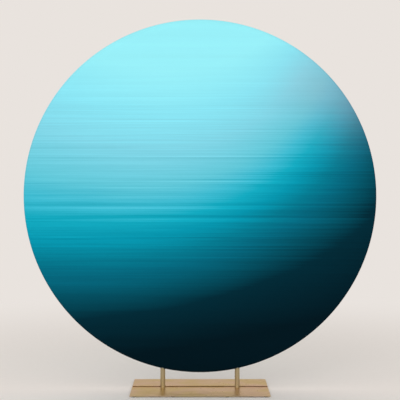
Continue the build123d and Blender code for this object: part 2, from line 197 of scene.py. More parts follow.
class Shader:
    """One material's nodes, added and joined in a line each."""

    def __init__(self, name):
        self.material = bpy.data.materials.new(name)
        self.material.use_nodes = True
        self.tree = self.material.node_tree
        self.tree.nodes.clear()

    def add(self, kind, inputs=None, **settings):
        """Adds a node. inputs maps a socket's name or number to a value or to another node's socket."""
        node = self.tree.nodes.new(kind)
        for key, value in settings.items():
            setattr(node, key, value)
        for key, value in (inputs or {}).items():
            if isinstance(value, bpy.types.NodeSocket):
                self.tree.links.new(value, node.inputs[key])
            else:
                node.inputs[key].default_value = value
        return node

    def math(self, operation, first, second=0.0, clamp=False):
        """The result of a math node."""
        inputs = {0: first, 1: second}
        return self.add("ShaderNodeMath", inputs, operation=operation, use_clamp=clamp).outputs[0]

    def plus(self, first, second):
        """The sum of two values."""
        return self.math("ADD", first, second)

    def minus(self, first, second):
        """The first value less the second."""
        return self.math("SUBTRACT", first, second)

    def times(self, first, second):
        """The product of two values."""
        return self.math("MULTIPLY", first, second)

    def over(self, first, second):
        """The first value divided by the second."""
        return self.math("DIVIDE", first, second)

    def fade(self, value, low, high, start=0.0, end=1.0):
        """A smooth step from start to end while value goes from low to high."""
        inputs = {"Value": value, "From Min": low, "From Max": high, "To Min": start, "To Max": end}
        return self.add("ShaderNodeMapRange", inputs, interpolation_type="SMOOTHSTEP").outputs["Result"]

    def blend(self, factor, first, second, mode="MIX"):
        """Two colours mixed."""
        node = self.add("ShaderNodeMix", {"Factor": factor}, data_type="RGBA", blend_type=mode)
        for number, value in ((6, first), (7, second)):
            if isinstance(value, bpy.types.NodeSocket):
                self.tree.links.new(value, node.inputs[number])
            else:
                node.inputs[number].default_value = (*value, 1)
        return node.outputs[2]

    def scaled(self, tone, value):
        """A colour multiplied by a value."""
        grey = self.add("ShaderNodeCombineXYZ", {0: value, 1: value, 2: value}).outputs[0]
        return self.blend(1.0, tone, grey, "MULTIPLY")

    def position(self):
        """Object coordinates."""
        return self.add("ShaderNodeTexCoord").outputs["Object"]

    def flat_cut(self):
        """Coordinates on the cover's cloth as it was cut, before it was stretched over the ring."""
        return self.add("ShaderNodeAttribute", attribute_name="flat_position").outputs["Vector"]

    def stretched(self, vector, scale, shift=(0, 0, 0)):
        """Coordinates scaled and moved."""
        inputs = {"Vector": vector, "Scale": scale, "Location": shift}
        return self.add("ShaderNodeMapping", inputs).outputs[0]

    def noise(self, vector, scale, detail=2.0, roughness=0.5):
        """Noise from 0 to 1."""
        inputs = {"Vector": vector, "Scale": scale, "Detail": detail, "Roughness": roughness}
        return self.add("ShaderNodeTexNoise", inputs).outputs[0]

    def bump(self, height, distance, strength=1.0, under=None):
        """A normal bent by a height, on top of another."""
        inputs = {"Height": height, "Distance": distance, "Strength": strength}
        if under is not None:
            inputs["Normal"] = under
        return self.add("ShaderNodeBump", inputs).outputs[0]

    def finish(self, **sockets):
        """The principled shader that ends the material. Underscores in socket names stand for spaces."""
        shader = self.add("ShaderNodeBsdfPrincipled")
        for key, value in sockets.items():
            socket = shader.inputs[key.replace("_", " ")]
            if isinstance(value, bpy.types.NodeSocket):
                self.tree.links.new(value, socket)
            elif socket.type == "RGBA":
                socket.default_value = (*value, 1)
            else:
                socket.default_value = value
        self.add("ShaderNodeOutputMaterial", {"Surface": shader.outputs[0]})
        return self.material


def ramp(shader, value, stops):
    """A colour ramp with (place, colour) stops."""
    node = shader.add("ShaderNodeValToRGB", {"Fac": value})
    node.color_ramp.interpolation = "LINEAR"
    elements = node.color_ramp.elements
    while len(elements) < len(stops):
        elements.new(0.5)
    for element, (place, tone) in zip(elements, stops):
        element.position = place
        element.color = (*tone, 1)
    return node.outputs["Color"]


def dress(nodes, material):
    """Gives CAD nodes a material."""
    for name in nodes:
        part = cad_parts[name]
        part.data.materials.clear()
        part.data.materials.append(material)


def nodes_named(*starts):
    """The CAD nodes whose names start with one of these words."""
    return [name for name in sorted(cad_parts) if name.startswith(starts)]


# ---------------------------------------------------------------- cloth materials

# The print fades down the disc, from light to dark. Its lengths are in metres on the flat cloth, from the
# disc's centre. The fade's line rises towards the right, more steeply near the top.
FADE_LINE = -0.26
FADE_RISE = 0.59
RISE_LEFT = -0.75
RISE_SPAN = 1.5
RISE_POWER = 3.4
RISE_SHARPENING = 2.4
LEAST_POWER = 1.2
# The fade is wider at the right, and the part above its line is wider at the left too.
FADE_SPREAD = 0.46
LEFT_START = -0.1
LEFT_SPAN = 0.8
LEFT_SPREAD = 0.3
# Each of the print's colours and its height above the line.
FADE_LOW, FADE_HIGH = -0.75, 1.2
TONE_HEIGHTS = (
    ("deep", -0.68),
    ("navy", -0.43),
    ("ink", -0.31),
    ("petrol", -0.2),
    ("spruce", -0.11),
    ("teal", 0.0),
    ("turquoise", 0.1),
    ("lagoon", 0.19),
    ("shallow", 0.3),
    ("pale", 0.5),
    ("aqua", 0.7),
    ("sky", 0.95),
)
# How far the listed streaks, fine noise, broader noise and a slow swell shift the fade, the heights
# between which the fine noise comes in at the bottom and goes out at the top, and how much a streak
# lightens the print.
STREAK_SHIFT = 0.15
FINE_SHIFT = 0.26
BAND_SHIFT = 0.12
SWELL_SHIFT = 0.05
FINE_BOTTOM = (-0.75, -0.2)
FINE_TOP = (0.85, 0.3)
STREAK_GLEAM = 1.1
# The haze at the upper right: its middle, its half sizes and its share at the middle.
HAZE_CENTRE = (0.78, 0.60)
HAZE_SIZE = (0.28, 0.20)
HAZE_SHARE = 0.35
# Each streak is light below its middle and dark above, or the other way round where its strength is
# negative: height, middle, half length, half width, strength.
STREAKS = (
    (-0.056, -0.20, 0.90, 0.013, 1.0),
    (-0.126, 0.10, 0.80, 0.013, 1.1),
    (0.087, 0.00, 0.50, 0.006, 1.3),
    (0.219, 0.05, 0.55, 0.006, -1.0),
    (0.052, -0.35, 0.28, 0.005, 0.6),
    (0.210, -0.70, 0.30, 0.005, 0.6),
    (-0.240, 0.00, 0.16, 0.006, 0.6),
    (-0.238, -0.75, 0.12, 0.006, -0.6),
    (-0.292, 0.30, 0.50, 0.006, 0.6),
    (0.118, 0.35, 0.40, 0.004, 0.6),
    (0.372, 0.45, 0.40, 0.006, 0.7),
    (0.430, -0.25, 0.45, 0.005, 0.7),
    (0.335, -0.15, 0.35, 0.004, -0.6),
    (-0.345, 0.15, 0.45, 0.006, 0.5),
)


# The knit's ribs and the loops along them, and the ribs of the binding tape.
RIB_PITCH = 0.0009
LOOP_PITCH = 0.0007
TWILL_PITCH = 0.0008
SHOW_THROUGH = 0.32  # the print's share of the colour on the cloth's reverse


def bell(shader, across, up):
    """1 at the middle, and less all round it."""
    away = shader.plus(shader.times(across, across), shader.times(up, up))
    return shader.math("EXPONENT", shader.times(away, -1))


def fade_height(shader, x, z):
    """How far a point is above the fade's line, on the scale that the fade has at the lower left."""
    side = shader.over(shader.minus(x, RISE_LEFT), RISE_SPAN)
    power = shader.plus(shader.times(z, RISE_SHARPENING), RISE_POWER)
    power = shader.math("MAXIMUM", power, LEAST_POWER)
    rise = shader.math("POWER", shader.math("MAXIMUM", side, 0.0), power)
    line = shader.plus(shader.times(rise, FADE_RISE), FADE_LINE)
    left = shader.over(shader.minus(LEFT_START, x), LEFT_SPAN)
    left = shader.times(shader.math("POWER", shader.math("MAXIMUM", left, 0.0), 2), LEFT_SPREAD)
    spread = shader.plus(shader.times(rise, FADE_SPREAD), 1)
    above = shader.minus(z, line)
    return shader.math("MINIMUM", shader.over(above, spread), shader.over(above, shader.plus(spread, left)))


def streak_lines(shader, x, z):
    """The listed streaks."""
    total = 0.0
    for height, centre, half_length, half_width, strength in STREAKS:
        up = shader.over(shader.minus(z, height), half_width)
        along = shader.over(shader.minus(x, centre), half_length)
        line = shader.times(up, bell(shader, up, along))
        total = shader.plus(total, shader.times(line, -strength))
    return total


def print_streaks(shader, flat, x, z):
    """The listed streaks with fine and broader noise, all long and level."""
    fine = shader.noise(shader.stretched(flat, (0.9, 1, 120)), 1, 3, 0.6)
    bands = shader.noise(shader.stretched(flat, (0.5, 1, 17), (3, 0, 1)), 1, 3, 0.55)
    zone = shader.times(shader.fade(z, *FINE_BOTTOM), shader.fade(z, *FINE_TOP))
    fine = shader.times(shader.minus(fine, 0.5), shader.times(zone, FINE_SHIFT))
    bands = shader.times(shader.minus(bands, 0.5), BAND_SHIFT)
    lines = shader.times(streak_lines(shader, x, z), STREAK_SHIFT)
    return shader.plus(shader.plus(fine, bands), lines)


def print_colour(shader, flat):
    """The printed picture, on the cover's flat-cut coordinates."""
    settings = bpy.context.scene.backdrop_print
    axes = shader.add("ShaderNodeSeparateXYZ", {0: flat}).outputs
    x, z = axes["X"], axes["Z"]
    streaks = print_streaks(shader, flat, x, z)
    swell = shader.noise(shader.stretched(flat, (1.4, 1, 2.2), (7, 0, 5)), 1, 1)
    swell = shader.times(shader.minus(swell, 0.5), SWELL_SHIFT)
    height = shader.plus(fade_height(shader, x, z), shader.times(streaks, settings.streaks))
    height = shader.plus(height, swell)

    span = FADE_HIGH - FADE_LOW
    place = shader.math("DIVIDE", shader.minus(height, FADE_LOW), span, clamp=True)
    stops = [((at - FADE_LOW) / span, tuple(getattr(settings, name))) for name, at in TONE_HEIGHTS]
    gleam = shader.plus(shader.times(streaks, STREAK_GLEAM), 1)
    picture = shader.scaled(ramp(shader, place, stops), gleam)

    across = shader.over(shader.minus(x, HAZE_CENTRE[0]), HAZE_SIZE[0])
    up = shader.over(shader.minus(z, HAZE_CENTRE[1]), HAZE_SIZE[1])
    haze = shader.times(bell(shader, across, up), HAZE_SHARE)
    return shader.blend(haze, picture, tuple(settings.haze))


def knit_bump(shader, vector):
    """The ribs of a fine jersey knit, with loops along them."""
    axes = shader.add("ShaderNodeSeparateXYZ", {0: vector}).outputs
    ribs = shader.math("SINE", shader.times(axes["X"], math.tau / RIB_PITCH))
    loops = shader.math("SINE", shader.times(axes["Z"], math.tau / LOOP_PITCH))
    knit = shader.plus(ribs, shader.times(loops, 0.6))
    slub = shader.noise(vector, 260, 2)
    height = shader.plus(knit, slub)
    return shader.bump(height, 0.00004, 0.5)


def printed_cloth():
    """The printed face of the stretch cloth, which is matt."""
    shader = Shader("printed_cloth")
    flat = shader.flat_cut()
    picture = print_colour(shader, flat)
    grain = shader.fade(shader.noise(flat, 900, 2), 0.2, 0.8, 0.965, 1.035)
    return shader.finish(
        Base_Color=shader.scaled(picture, grain),
        Roughness=0.88,
        Specular_IOR_Level=0.03,
        Normal=knit_bump(shader, flat),
    )


def reverse_cloth():
    """The unprinted side, where a little of the print shows through."""
    shader = Shader("reverse_cloth")
    flat = shader.flat_cut()
    reverse = tuple(bpy.context.scene.backdrop_cloth.reverse)
    return shader.finish(
        Base_Color=shader.blend(SHOW_THROUGH, reverse, print_colour(shader, flat)),
        Roughness=0.9,
        Specular_IOR_Level=0.1,
        Sheen_Weight=0.05,
        Normal=knit_bump(shader, flat),
    )


def thread_material():
    """Twisted polyester thread."""
    shader = Shader("sewing_thread")
    twist = shader.noise(shader.position(), 2400, 1)
    tone = shader.blend(twist, tuple(bpy.context.scene.backdrop_cloth.thread), linear("A9B9BC"))
    normal = shader.bump(twist, 0.0001)
    return shader.finish(Base_Color=tone, Roughness=0.55, Sheen_Weight=0.2, Normal=normal)


def tape_material():
    """Twill binding tape: fine slanting ribs."""
    shader = Shader("binding_tape")
    place = shader.position()
    axes = shader.add("ShaderNodeSeparateXYZ", {0: place}).outputs
    slant = shader.plus(axes["X"], shader.times(axes["Y"], 0.6))
    ribs = shader.math("SINE", shader.times(slant, math.tau / TWILL_PITCH))
    tape = tuple(bpy.context.scene.backdrop_cloth.tape)
    tone = shader.blend(shader.fade(ribs, -1, 1), tape, linear("1D4450"))
    normal = shader.bump(ribs, 0.00012)
    return shader.finish(Base_Color=tone, Roughness=0.8, Sheen_Weight=0.15, Normal=normal)


def elastic_material():
    """Woven elastic: ribs along the band and short cross threads."""
    shader = Shader("woven_elastic")
    place = shader.position()
    weave = shader.noise(shader.stretched(place, (1, 4, 1)), 700, 2)
    tone = shader.blend(weave, linear("F1F0EC"), linear("D5D4CE"))
    return shader.finish(Base_Color=tone, Roughness=0.75, Normal=shader.bump(weave, 0.0003))


def label_material():
    """Blank satin label tape."""
    shader = Shader("satin_label")
    place = shader.position()
    weft = shader.noise(shader.stretched(place, (900, 900, 6000)), 1, 1)
    tone = shader.blend(weft, linear("F4F4F2"), linear("E3E5E6"))
    normal = shader.bump(weft, 0.00004)
    return shader.finish(Base_Color=tone, Roughness=0.35, Anisotropic=0.4, Normal=normal)


# ---------------------------------------------------------------- hard materials


# The painted shade on the face of the front leaf's lip: where it starts in front of the face and stops
# behind it, and the heights above the leaf between which it fades out.
SHADE_BAND_FRONT = 0.001
SHADE_BAND_REAR = (0.0008, 0.0004)
SHADE_BAND_TOP = (0.004, 0.0012)


def gold_plate(name, gold, warm, grain, roughness):
    """Champagne gold plating with warm patches. grain stretches its polishing lines along the part."""
    settings = bpy.context.scene.backdrop_metal
    shader = Shader(name)
    place = shader.position()
    patches = shader.noise(shader.stretched(place, (5, 7, 7)), 1, 2)
    tone = shader.blend(shader.fade(patches, 0.35, 0.65), tuple(gold), tuple(warm))
    axes = shader.add("ShaderNodeSeparateXYZ", {0: place}).outputs
    # Painted shade: a dark band on the face of the front leaf's lip stands in for the shade there.
    front = shader.fade(axes["Y"], LIP_Y - SHADE_BAND_FRONT, LIP_Y)
    rear = shader.fade(axes["Y"], *(LIP_Y + reach for reach in SHADE_BAND_REAR))
    low = shader.fade(axes["Z"], *(BASE_TOP + reach for reach in SHADE_BAND_TOP))
    band = shader.times(shader.times(front, rear), low)
    tone = shader.blend(band, tone, tuple(settings.lip_painted_shade))
    smears = shader.noise(shader.stretched(place, (9, 22, 22), (4, 2, 0)), 1, 3, 0.6)
    lines = shader.noise(shader.stretched(place, grain), 1, 3, 0.7)
    rough = shader.fade(smears, 0.3, 0.75, roughness, roughness + 0.12)
    rough = shader.plus(rough, shader.times(shader.minus(lines, 0.5), 0.03))
    return shader.finish(
        Base_Color=tone,
        Metallic=1.0,
        Specular_Tint=tuple(settings.gold_edge),
        Roughness=rough,
        Normal=shader.bump(lines, 0.000004, 0.2),
    )


def bright_metal(name, tone, roughness, grain):
    """Plated steel or brass with fine drawing lines and faint handling marks."""
    shader = Shader(name)
    place = shader.position()
    lines = shader.noise(shader.stretched(place, grain), 1, 3, 0.65)
    marks = shader.noise(place, 60, 3, 0.6)
    darker = tuple(0.7 * part for part in tone)
    shade = shader.blend(shader.fade(marks, 0.45, 0.8), tuple(tone), darker)
    rough = shader.fade(lines, 0.2, 0.8, roughness, roughness + 0.18)
    normal = shader.bump(lines, 0.00003, 0.7)
    return shader.finish(Base_Color=shade, Metallic=1.0, Roughness=rough, Normal=normal)


def moulded(name, tone, roughness, grain_size, depth):
    """Moulded plastic or rubber with a spark-eroded grain and dusty patches."""
    shader = Shader(name)
    place = shader.position()
    grain = shader.noise(place, 1 / grain_size, 2, 0.6)
    dust = shader.noise(place, 45, 3, 0.6)
    paler = tuple(part + 0.03 for part in tone)
    shade = shader.blend(shader.fade(dust, 0.5, 0.85), tuple(tone), paler)
    rough = shader.fade(dust, 0.3, 0.8, roughness, roughness + 0.12)
    return shader.finish(Base_Color=shade, Roughness=rough, Normal=shader.bump(grain, depth, 0.5))


# ---------------------------------------------------------------- mesh helpers


def new_piece(name, mesh, body, materials):
    """Turns a bmesh into a piece that rides on a body, unless body is None."""
    data = bpy.data.meshes.new(name)
    mesh.to_mesh(data)
    mesh.free()
    data.shade_smooth()
    for material in materials:
        data.materials.append(material)
    piece = bpy.data.objects.new(name, data)
    bpy.context.scene.collection.objects.link(piece)
    if body:
        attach(piece, body)
    return piece


def smooth_step(value):
    """0 below 0, 1 above 1, and smooth between."""
    value = min(max(value, 0.0), 1.0)
    return value * value * (3 - 2 * value)


class Wave:
    """A wave round the ring whose folds vary in width and height."""

    def __init__(self, folds, seed):
        draw = random.Random(seed)
        self.folds = folds
        self.warp = [
            (k, draw.uniform(0.9, 2.6) / math.sqrt(k), draw.uniform(0, math.tau))
            for k in (2, 3, 5, 9, 14, 23)
        ]
        self.swell = [(k, draw.uniform(0.08, 0.2), draw.uniform(0, math.tau)) for k in (4, 7, 13, 29, 41)]

    def at(self, angle):
        """The wave's value, about -1.3 to 1.3."""
        phase = self.folds * angle + sum(size * math.sin(k * angle + start) for k, size, start in self.warp)
        height = 1 + sum(size * math.sin(k * angle + start) for k, size, start in self.swell)
        return height * (math.sin(phase) + 0.22 * math.sin(2 * phase + 1.1))


# ---------------------------------------------------------------- cover

HEM_HALF_WIDTH = 0.008
ELASTIC_HALF_WIDTH = 0.0058
HEM_RADIUS = elastic_high.x - ELASTIC_HALF_WIDTH
SEAM_RADIUS = HEM_RADIUS + HEM_HALF_WIDTH
FRONT_RINGS = (0.0, 0.45, 0.8, 0.95)
RIM_STEPS = 9
MARGIN_STEPS = 9
CHANNEL_TURNS = (38, 72, 110, 145, 180, 215, 250, 285, 322)
HEM_PUFF = 0.42  # how much the hem's channel swells and thins with the fine pleats
HEM_WAVER = 0.0011  # how far the hem's inner edge moves in and out
OPENING_GAP = 0.0012  # between a stub and the edge of its opening


def cover_profile():
    """The cover's section from its centre, round the tube to the hem: (radius, depth, cloth length)."""
    points = [(radius, -WRAP_RADIUS, radius) for radius in FRONT_RINGS]
    for step in range(RIM_STEPS + 1):
        turn = math.pi * step / RIM_STEPS
        out = RING_RADIUS + WRAP_RADIUS * math.sin(turn)
        points.append((out, -WRAP_RADIUS * math.cos(turn), RING_RADIUS + WRAP_RADIUS * turn))
    wrapped = RING_RADIUS + WRAP_RADIUS * math.pi
    for step in range(1, MARGIN_STEPS + 1):
        run = (RING_RADIUS - SEAM_RADIUS) * step / MARGIN_STEPS
        drop = (WRAP_RADIUS - HEM_Y) * step / MARGIN_STEPS
        points.append((RING_RADIUS - run, WRAP_RADIUS - drop, wrapped + run))
    seam_length = wrapped + RING_RADIUS - SEAM_RADIUS
    for degrees in CHANNEL_TURNS:
        turn = math.radians(degrees)
        out = HEM_RADIUS + HEM_HALF_WIDTH * math.cos(turn)
        depth = HEM_Y + HEM_DEPTH / 2 * math.sin(turn)
        points.append((out, depth, seam_length + HEM_HALF_WIDTH * 2 * degrees / 180))
    return points


class Gathers:
    """How far the gathered margin and hem stand from their plain section."""

    def __init__(self, settings):
        self.broad = Wave(settings.broad_pleats, 11)
        self.fine = Wave(settings.fine_pleats, 23)
        self.broad_depth = settings.broad_depth
        self.fine_depth = settings.fine_depth

    def move(self, angle, radius, depth, length):
        """The gathered (radius, depth) of a point whose plain section is at (radius, depth)."""
        wrapped = RING_RADIUS + WRAP_RADIUS * math.pi
        if length < wrapped:
            return radius, depth
        # The broad folds die out towards the hem, and the fine pleats grow.
        broad, fine = self.broad.at(angle), self.fine.at(angle)
        run = min((length - wrapped) / (RING_RADIUS - SEAM_RADIUS), 1.0)
        soft = smooth_step(run / 0.75) * (1 - 0.78 * smooth_step((run - 0.6) / 0.4))
        tight = smooth_step((run - 0.3) / 0.7)
        fold = broad * self.broad_depth * soft + fine * self.fine_depth * tight * 0.6
        if run < 1.0 or radius == SEAM_RADIUS:
            return radius, depth + fold
        across = (radius - HEM_RADIUS) / HEM_HALF_WIDTH
        beside_seam = max(across, 0.0) ** 6
        puff = 1 + HEM_PUFF * fine * (1 - beside_seam)
        depth = HEM_Y + (depth - HEM_Y) * puff + fold * beside_seam
        radius -= HEM_WAVER * fine * smooth_step(-across)
        return radius, depth


def ring_point(angle, radius, depth):
    """A point from its angle and radius about the ring's axis, and its depth along +Y."""
    return RING_CENTRE + Vector((radius * math.cos(angle), depth, radius * math.sin(angle)))


def cut_opening(mesh, middle_point, radius):
    """Cuts a round opening through the underside of the rim, for a stub."""
    around = 16
    reach = 2.2 * radius

    def near():
        faces = [face for face in mesh.faces if face.calc_center_median().z < RING_CENTRE.z]
        return [face for face in faces if (face.calc_center_median() - middle_point).xy.length < reach]

    for step in range(around):
        turn = math.tau * step / around
        out = Vector((math.cos(turn), math.sin(turn), 0))
        faces = near()
        edges = list(dict.fromkeys(edge for face in faces for edge in face.edges))
        points = list(dict.fromkeys(point for face in faces for point in face.verts))
        place = middle_point + out * radius
        bmesh.ops.bisect_plane(mesh, geom=points + edges + faces, plane_co=place, plane_no=out, dist=1e-6)
    inside = [face for face in near() if (face.calc_center_median() - middle_point).xy.length < radius]
    bmesh.ops.delete(mesh, geom=inside, context="FACES")


def make_cover(settings, gathers):
    """The one-piece cover: a spun section, gathered at the rear, with openings for the stubs."""
    profile = cover_profile()
    mesh = bmesh.new()
    flat_layer = mesh.verts.layers.float_vector.new("flat_position")
    length_layer = mesh.verts.layers.float.new("cloth_length")
    chain = []
    for radius, depth, length in profile:
        point = mesh.verts.new(ring_point(0, radius, depth))
        point[length_layer] = length
        chain.append(point)
    edges = [mesh.edges.new(pair) for pair in zip(chain, chain[1:])]
    bmesh.ops.spin(
        mesh,
        geom=chain + edges,
        cent=RING_CENTRE,
        axis=(0, -1, 0),
        angle=math.tau,
        steps=settings.spin_steps,
        use_merge=True,
    )
    bmesh.ops.remove_doubles(mesh, verts=mesh.verts, dist=1e-6)
    for point in mesh.verts:
        across = point.co - RING_CENTRE
        angle = math.atan2(across.z, across.x)
        plain = math.hypot(across.x, across.z)
        length = point[length_layer]
        at_seam = abs(plain - SEAM_RADIUS) < 1e-5
        radius, depth = gathers.move(angle, SEAM_RADIUS if at_seam else plain, across.y, length)
        point[flat_layer] = (length * math.cos(angle), 0, length * math.sin(angle))
        point.co = ring_point(angle, radius, depth)
    bmesh.ops.recalc_face_normals(mesh, faces=mesh.faces)
    front = min(mesh.faces, key=lambda face: (face.calc_center_median() - RING_CENTRE).length)
    if front.normal.y > 0:
        bmesh.ops.reverse_faces(mesh, faces=mesh.faces)
    for side in SIDES:
        stub = middle(f"ring_stub_{side}")
        low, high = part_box(f"ring_stub_{side}")
        cut_opening(mesh, stub, (high.x - low.x) / 2 + OPENING_GAP)
    cover = new_piece("cover", mesh, "panel", [printed_cloth(), reverse_cloth()])
    wall = cover.modifiers.new("Cloth thickness", "SOLIDIFY")
    wall.thickness = settings.thickness
    wall.offset = -1
    wall.material_offset = 1
    return cover


# ---------------------------------------------------------------- sewing

HEM_ROWS = (0.0016, 0.0046)  # how far outside the channel each row of stitches is
THREAD_HALF_WIDTH = 0.00033
THREAD_HALF_HEIGHT = 0.0003
THREAD_STAND = 0.00012  # how far a hem stitch's middle stands off the cloth
BINDING_WIDTH = 0.0034
BINDING_HALF_HEIGHT = 0.0007
BINDING_RISE = 0.0006  # how far the tape's middle stands off the rim
BINDING_STITCHES = 34
BINDING_STITCH_INSET = 0.0009
BINDING_HALF_STITCH = 0.001
LABEL_ANGLE = math.radians(112)  # anticlockwise round the ring from +X, seen from the front


def make_hem_stitches(settings, gathers):
    """Two rows of stitches that close the hem's channel."""
    mesh = bmesh.new()
    wrapped = RING_RADIUS + WRAP_RADIUS * math.pi
    draw = random.Random(5)
    for out in HEM_ROWS:
        radius = SEAM_RADIUS + out
        around = round(math.tau * radius / settings.stitch_pitch)
        length = wrapped + RING_RADIUS - radius
        run = out / (RING_RADIUS - SEAM_RADIUS)
        plain_depth = HEM_Y + (WRAP_RADIUS - HEM_Y) * run
        for step in range(around):
            ends = []
            for part in (-0.5, 0.5):
                angle = math.tau * step / around + part * settings.stitch / radius
                moved, depth = gathers.move(angle, radius, plain_depth, length)
                ends.append(ring_point(angle, moved, depth))
            along = (ends[1] - ends[0]).normalized()
            outward = (ends[0] - RING_CENTRE).normalized()
            rear = outward.cross(along).normalized()
            rear = rear if rear.y > 0 else -rear
            across = rear.cross(along)
            spot = (ends[0] + ends[1]) / 2 + rear * THREAD_STAND
            turn = Matrix((along, across, rear)).transposed().to_4x4()
            half_width = THREAD_HALF_WIDTH * draw.uniform(0.9, 1.1)
            size = Matrix.Diagonal((settings.stitch / 2, half_width, THREAD_HALF_HEIGHT, 1))
            matrix = Matrix.Translation(spot) @ turn @ size
            bmesh.ops.create_icosphere(mesh, subdivisions=1, radius=1, matrix=matrix)
    return new_piece("hem_stitches", mesh, "panel", [thread_material()])


def rim_underside(x, y, wrap):
    """The height of the rim's underside at (x, y), for a wrap radius round the tube."""
    out = RING_RADIUS + math.sqrt(max(wrap * wrap - y * y, 0))
    return RING_CENTRE.z - math.sqrt(out * out - x * x)


def make_bindings():
    """Tape bound round each stub's opening, with a row of stitches."""
    low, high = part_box("opening_bindings")
    outer = (high.y - low.y) / 2
    half_width = BINDING_WIDTH / 2
    tapes = bmesh.new()
    seams = bmesh.new()
    around = 64
    section = 10
    for side in SIDES:
        stub = middle(f"ring_stub_{side}")
        axis_point = Vector((stub.x, 0, 0))
        loop = []
        for step in range(section):
            turn = math.tau * step / section
            out = outer - half_width + half_width * math.cos(turn)
            rise = BINDING_RISE + BINDING_HALF_HEIGHT * math.sin(turn)
            loop.append(tapes.verts.new(axis_point + Vector((out, 0, rise))))
        edges = [tapes.edges.new(pair) for pair in zip(loop, loop[1:] + loop[:1])]
        bmesh.ops.spin(
            tapes,
            geom=loop + edges,
            cent=axis_point,
            axis=(0, 0, 1),
            angle=math.tau,
            steps=around,
            use_merge=True,
        )
        for step in range(BINDING_STITCHES):
            turn = math.tau * step / BINDING_STITCHES
            outward = Vector((math.cos(turn), math.sin(turn), 0))
            spot = axis_point + outward * (outer - BINDING_STITCH_INSET)
            spot.z = rim_underside(spot.x, spot.y, WRAP_RADIUS + 2 * BINDING_RISE)
            place = Matrix.Translation(spot) @ Matrix.Rotation(turn, 4, "Z")
            size = Matrix.Diagonal((THREAD_HALF_HEIGHT, BINDING_HALF_STITCH, THREAD_HALF_HEIGHT, 1))
            bmesh.ops.create_icosphere(seams, subdivisions=1, radius=1, matrix=place @ size)
    for point in tapes.verts:
        point.co.z = rim_underside(point.co.x, point.co.y, WRAP_RADIUS + point.co.z)
    bmesh.ops.remove_doubles(tapes, verts=tapes.verts, dist=1e-6)
    bmesh.ops.recalc_face_normals(tapes, faces=tapes.faces)
    binding = new_piece("opening_binding_tapes", tapes, "panel", [tape_material()])
    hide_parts("opening_bindings")
    stitching = new_piece("opening_stitches", seams, "panel", [thread_material()])
    return binding, stitching


def make_label():
    """A blank satin label, folded once and caught in the hem."""
    width, drop = 0.032, 0.03
    mesh = bmesh.new()
    steps = 24
    top = ring_point(LABEL_ANGLE, HEM_RADIUS - HEM_HALF_WIDTH + 0.003, HEM_Y - 0.0035)
    left, right = [], []
    for step in range(steps + 1):
        part = step / steps
        fold = math.sin(math.pi * part)
        height = -drop * fold**0.8
        depth = 0.0007 * math.cos(math.pi * part) - 0.004 * fold * fold
        left.append(mesh.verts.new(top + Vector((-width / 2, depth, height))))
        right.append(mesh.verts.new(top + Vector((width / 2, depth + 0.0015 * fold, height))))
    for i in range(steps):
        mesh.faces.new((left[i], right[i], right[i + 1], left[i + 1]))
    label = new_piece("care_label", mesh, "panel", [label_material()])
    wall = label.modifiers.new("Label thickness", "SOLIDIFY")
    wall.thickness = 0.0002


# ---------------------------------------------------------------- button springs


def make_button_spring(number, material):
    """A snap button's leaf spring, copied from its CAD node."""
    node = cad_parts[f"button_spring_{number}"]
    mesh = bmesh.new()
    mesh.from_mesh(node.data)
    mesh.transform(node.matrix_world)
    bmesh.ops.remove_doubles(mesh, verts=mesh.verts, dist=1e-6)
    spring = new_piece(f"bending_spring_{number}", mesh, None, [material])
    spring.data.set_sharp_from_angle(angle=math.radians(30))
    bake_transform(spring)
    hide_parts(f"button_spring_{number}")


# ---------------------------------------------------------------- clamp screws

THREAD_PITCH = 0.001
THREAD_DEPTH = 0.0006
THREAD_ROOT = 0.0003  # how far the thread reaches into the core
THREAD_STEPS = 20  # in each turn
SCREW_BEVEL = 0.0006


def make_clamp_screw(side, material):
    """A clamp's screw with its real thread. It turns with the knob."""
    low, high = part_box(f"clamp_screw_{side}")
    centre = (low + high) / 2
    radius = (high.x - low.x) / 2
    core = radius - THREAD_DEPTH
    mesh = bmesh.new()
    along_y = Matrix.Rotation(math.radians(90), 4, "X")
    bmesh.ops.create_cone(
        mesh,
        cap_ends=True,
        segments=32,
        radius1=core,
        radius2=core,
        depth=high.y - low.y,
        matrix=Matrix.Translation(centre) @ along_y,
    )
    rims = [edge for edge in mesh.edges if all(abs(point.co.y - centre.y) > 0.01 for point in edge.verts)]
    bmesh.ops.bevel(
        mesh, geom=rims, offset=SCREW_BEVEL, affect="EDGES", segments=2, profile=0.5, material=-1
    )
    core_faces = set(mesh.faces)
    turns = int((high.y - low.y - 0.003) / THREAD_PITCH)
    start = Vector((centre.x, low.y + 0.001, centre.z))
    root = core - THREAD_ROOT
    tooth = [(root, 0.0), (radius, 0.00045), (radius, 0.00055), (root, 0.00095)]
    loop = [mesh.verts.new(start + Vector((out, step, 0))) for out, step in tooth]
    first = mesh.faces.new(loop)
    bmesh.ops.spin(
        mesh,
        geom=[first],
        cent=start,
        axis=(0, 1, 0),
        dvec=(0, THREAD_PITCH / THREAD_STEPS, 0),
        angle=math.tau * turns,
        steps=turns * THREAD_STEPS,
    )
    # Only the spun thread needs its faces turned outwards. The core's point outwards already.
    thread = [face for face in mesh.faces if face not in core_faces]
    bmesh.ops.recalc_face_normals(mesh, faces=thread)
    screw = new_piece(f"threaded_screw_{side}", mesh, f"clamp_{side}_knob", [material])
    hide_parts(f"clamp_screw_{side}")


# ---------------------------------------------------------------- operators


